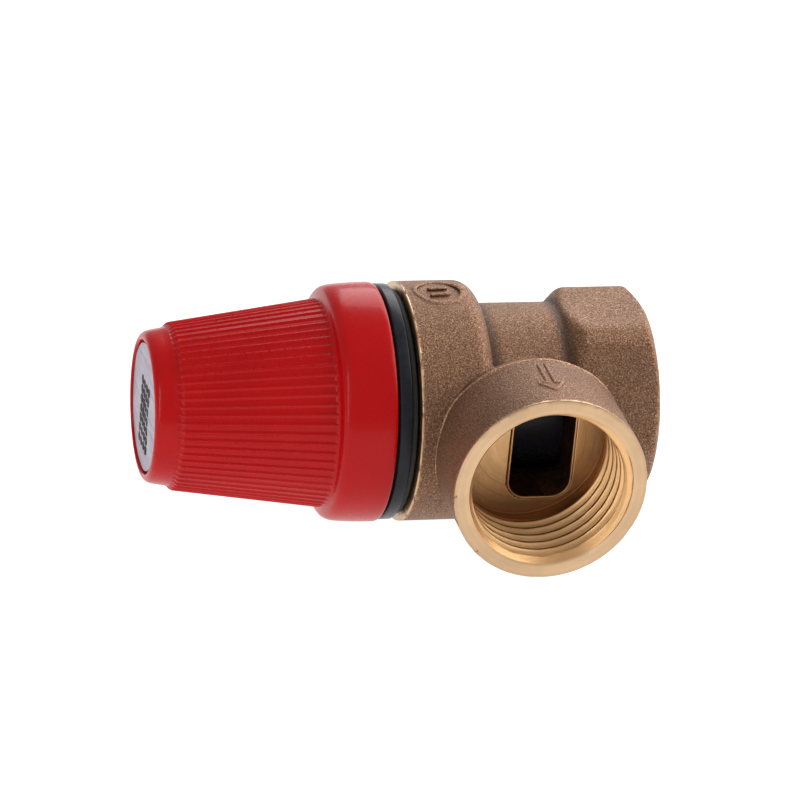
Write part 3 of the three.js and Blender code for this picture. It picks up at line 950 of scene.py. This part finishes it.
# ------------------------------------------------------------------ inner pieces
def spring():
    """A coil with closed, flat ends."""
    turns = 7
    wire = 0.9
    mean = 5.4
    length = 16.0
    first = -15.45
    n, sides = turns * 40, 14
    t = np.linspace(0, 1, n)
    dead = 1 / turns
    u = np.clip((t - dead / 2) / (1 - dead), 0, 1)
    x = first - length * (0.06 * t + 0.94 * u)
    a = t * turns * 2 * np.pi
    path = np.stack([x, mean * np.cos(a), mean * np.sin(a)], 1)
    out = np.stack([0 * a, np.cos(a), np.sin(a)], 1)
    tangent = np.gradient(path, axis=0)
    tangent /= np.linalg.norm(tangent, axis=1, keepdims=True)
    side = np.cross(tangent, out)
    b = around(sides)
    section = out[:, None] * np.cos(b)[:, None] + side[:, None] * np.sin(b)[:, None]
    v = path[:, None] + wire * section
    return make("spring_wire", v.reshape(-1, 3), tube_faces(n, sides), [STEEL])


def side_cosine(th):
    """The cosine of the angle from the middle of a hexagon's nearest side."""
    return np.cos(np.mod(th, math.pi / 3) - math.pi / 6)


def socket_screw(name, top, thick, head, shank, length, way):
    """A button screw with a hexagon socket."""
    sides, deep, socket = 96, 1.0, 1.05
    under, end = top + way * thick, top + way * (thick + length)
    outline = [
        (top + way * deep, 0.0),
        (top + way * deep, socket),
        (top, socket + 0.1),
        (top, head - 0.5),
        (top + way * 0.45, head),
        (under, head),
        (under, shank),
        (end, shank - 0.2),
        (end + way * 0.1, 0.0),
    ]
    p = rounded(outline, 0.12, closed=False)
    x, r = p[:, :1], np.repeat(p[:, 1:], sides, 1)
    in_socket = (r < socket + 0.15) & (np.abs(x - top) < deep + 0.05)
    hexagon = math.cos(math.pi / 6) / side_cosine(around(sides))
    v = revolved(x, np.where(in_socket, r * hexagon * 1.1, r))
    return make(name, v, grid_faces(len(p), sides), [STEEL])


def clamp_nut():
    """The hexagon nut that clamps the diaphragm."""
    sides = 96
    x0, x1 = -12.9, -10.9
    corner, half_flats = 4.05, 3.5
    side = [(x0, 2.1), (x0, 3.6), (x0 + 0.3, corner), (x1 - 0.3, corner), (x1, 3.6), (x1, 2.1)]
    p = rounded(side, 0.1)
    limit = half_flats / np.maximum(side_cosine(around(sides) + math.pi / 2), 0.5)
    v = revolved(p[:, :1], np.minimum(p[:, 1:], limit))
    return make("clamp_nut", v, grid_faces(len(p), sides, close_rows=True), [TURNED])


def washer(name, x0, x1, r0, r1, mat=STEEL, radius=0.12):
    return turned(name, ring_section(x0, x1, r0, r1), mat, 96, radius)


def set_ring(name, x0, x1):
    """The adjuster or the lock ring."""
    return washer(name, x0, x1, 3, 7.2, TURNED, 0.15)


def holder():
    """The seat disc's holder."""
    profile = [
        (6.1, 7.5),
        (6.1, 8),
        (5.8, 8.2),
        (-3.8, 8.2),
        (-5.6, 6.6),
        (-7.7, 6.6),
        (-8, 6.3),
        (-8, 2.1),
        (-2.4, 2.1),
        (-2.4, 1.0),
        (-1.2, 1.0),
        (-1.2, 1.9),
        (1.6, 1.9),
        (1.6, 7.5),
    ]
    return turned("holder", profile, BLACK, 128, 0.2)


def lower_plate():
    """The plate under the spring, with a collar that centres the coil."""
    profile = [(-13.2, 2.8), (-13.2, 6.9), (-14.2, 6.9), (-14.2, 4.1), (-15.8, 4.1), (-15.8, 2.8)]
    return turned("lower_plate", profile, STEEL, 96, 0.15)


def stem():
    """The stem: thin where it holds the plates, bored at its other end for the knob's screw."""
    profile = [
        (-2.7, 0.0),
        (-2.7, 1.5),
        (-3, 1.8),
        (-13.2, 1.8),
        (-13.2, 2.5),
        (-40.3, 2.5),
        (-40.6, 2.2),
        (-40.6, 1.8),
        (-35.5, 1.8),
        (-35.5, 0.0),
    ]
    return turned("stem_rod", profile, TURNED, 96, 0.1, ring=False)


def membrane():
    """The diaphragm: flat where it is clamped, with one shallow step between."""
    under = [(-9.3, 10.9), (-9.3, 8.9), (-8.75, 7.2), (-8.72, 2.1)]
    over = [(-8.3, 2.1), (-8.3, 7.3), (-8.9, 9.0), (-8.9, 10.9)]
    return turned("membrane", under + over, RUBBER, 96, 0.1)


def place(obj, node, body):
    """A piece stands for a CAD node, which it hides, and moves with a body."""
    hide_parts(node)
    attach(obj, body)
    return obj


place(valve_body(), "valve_body", "body")
place(bonnet(), "bonnet", "body")
place(knob(), "knob", "knob")
place(label_disc(), "label_disc", "knob")
place(washer("screw_washer", -43.1, -42.7, 1.9, 3.4), "knob_washer", "stem_assembly")
place(socket_screw("end_screw", -44.6, 1.2, 2.9, 1.5, 7.2, 1), "knob_screw", "stem_assembly")
place(socket_screw("disc_screw", 7.3, 1.8, 3.0, 1.5, 5.8, -1), "seat_screw", "stem_assembly")
place(washer("disc_washer", 4.4, 5.2, 1.9, 4.4), "seat_washer", "stem_assembly")
place(washer("backing_plate", -10.6, -9.6, 2.1, 7.6), "diaphragm_plate", "stem_assembly")
place(washer("friction_ring", -10.1, -9.6, 8.6, 10.7), "slip_washer", "body")
place(washer("top_plate", -33.9, -32.7, 3.0, 7.0), "thrust_washer", "body")
place(washer("rubber_face", 1.9, 4.1, 1.9, 7.2, RUBBER), "seat_disc", "stem_assembly")
place(set_ring("set_ring", -36.8, -34.2), "adjuster", "body")
place(set_ring("locking_ring", -38.7, -37.1), "lock_ring", "body")
place(clamp_nut(), "diaphragm_nut", "stem_assembly")
place(holder(), "disc_holder", "stem_assembly")
place(lower_plate(), "spring_plate", "stem_assembly")
place(stem(), "stem", "stem_assembly")
coil = place(spring(), "spring", "body")
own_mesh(coil)
diaphragm = membrane()
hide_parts("diaphragm")
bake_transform(diaphragm)


# ------------------------------------------------------------------ floor, light, camera
def floor():
    """A plain pale floor with its own glow, so that it stays white under the soft lights."""
    me = bpy.data.meshes.new("floor")
    bm = bmesh.new()
    bmesh.ops.create_grid(bm, x_segments=24, y_segments=24, size=1.6)
    bm.to_mesh(me)
    bm.free()
    s = Shader("paper")
    me.materials.append(
        s.set(Base_Color=grey(0.28), Roughness=0.9, Emission_Color=grey(1.0), Emission_Strength=1.0)
    )
    shown("floor", me)


def softbox(name, at, size, power):
    """A rectangular light that faces the valve."""
    data = bpy.data.lights.new(name, "AREA")
    data.shape = "RECTANGLE"
    data.size, data.size_y = size
    data.energy = power
    o = shown(name, data)
    o.location = at
    o.rotation_mode = "QUATERNION"
    valve = Vector((0, 0, 0.015))
    o.rotation_quaternion = (valve - Vector(at)).to_track_quat("-Z", "Y")


def light():
    world = bpy.data.worlds.new("studio")
    bpy.context.scene.world = world
    world.use_nodes = True
    bg = world.node_tree.nodes["Background"]
    bg.inputs["Color"].default_value = (1, 1, 1, 1)
    bg.inputs["Strength"].default_value = 0.5
    softbox("back", (0.24, 0.36, 0.30), (0.5, 0.35), 1.75)
    softbox("right", (0.42, -0.04, 0.32), (0.4, 0.45), 1.9)
    softbox("left", (-0.40, -0.30, 0.22), (0.09, 0.42), 0.6)


def camera():
    """The fitted view: its direction and roll, its distance in mm, and its lens.

    The focal length, and how far the valve's origin is from the middle of the picture, are in
    picture widths.
    """
    azimuth, elevation, roll = (math.radians(a) for a in (16.39, 25.79, 5.90))
    distance = 555.7
    focal, across, upward = 5.5483125, 0.1277625, 0.002375
    level = math.cos(elevation)
    back = np.array([-math.sin(azimuth) * level, -math.cos(azimuth) * level, math.sin(elevation)])
    right = np.cross(-back, [0, 0, 1.0])
    right /= np.linalg.norm(right)
    up = np.cross(right, -back)
    rolled_right = right * math.cos(roll) + up * math.sin(roll)
    rolled_up = -right * math.sin(roll) + up * math.cos(roll)
    # the camera turns from the origin toward the middle of the picture
    aim = Vector((across / focal, upward / focal, 1.0)).normalized()
    turn = np.array(Vector((0, 0, 1)).rotation_difference(aim).to_matrix())
    x_axis, y_axis, forward = turn @ np.stack([rolled_right, rolled_up, -back])
    pose = Matrix(np.stack([x_axis, y_axis, -forward], 1).tolist()).to_4x4()
    pose.translation = Vector(mm(back * distance))
    data = bpy.data.cameras.new("camera")
    data.sensor_width = 36
    data.lens = data.sensor_width * focal
    data.clip_start, data.clip_end = 0.05, 10
    o = shown("camera", data)
    o.matrix_world = pose
    bpy.context.scene.camera = o


floor()
light()
camera()
view = bpy.context.scene.view_settings
view.view_transform = "Standard"
view.look = "None"
view.exposure = 0.0
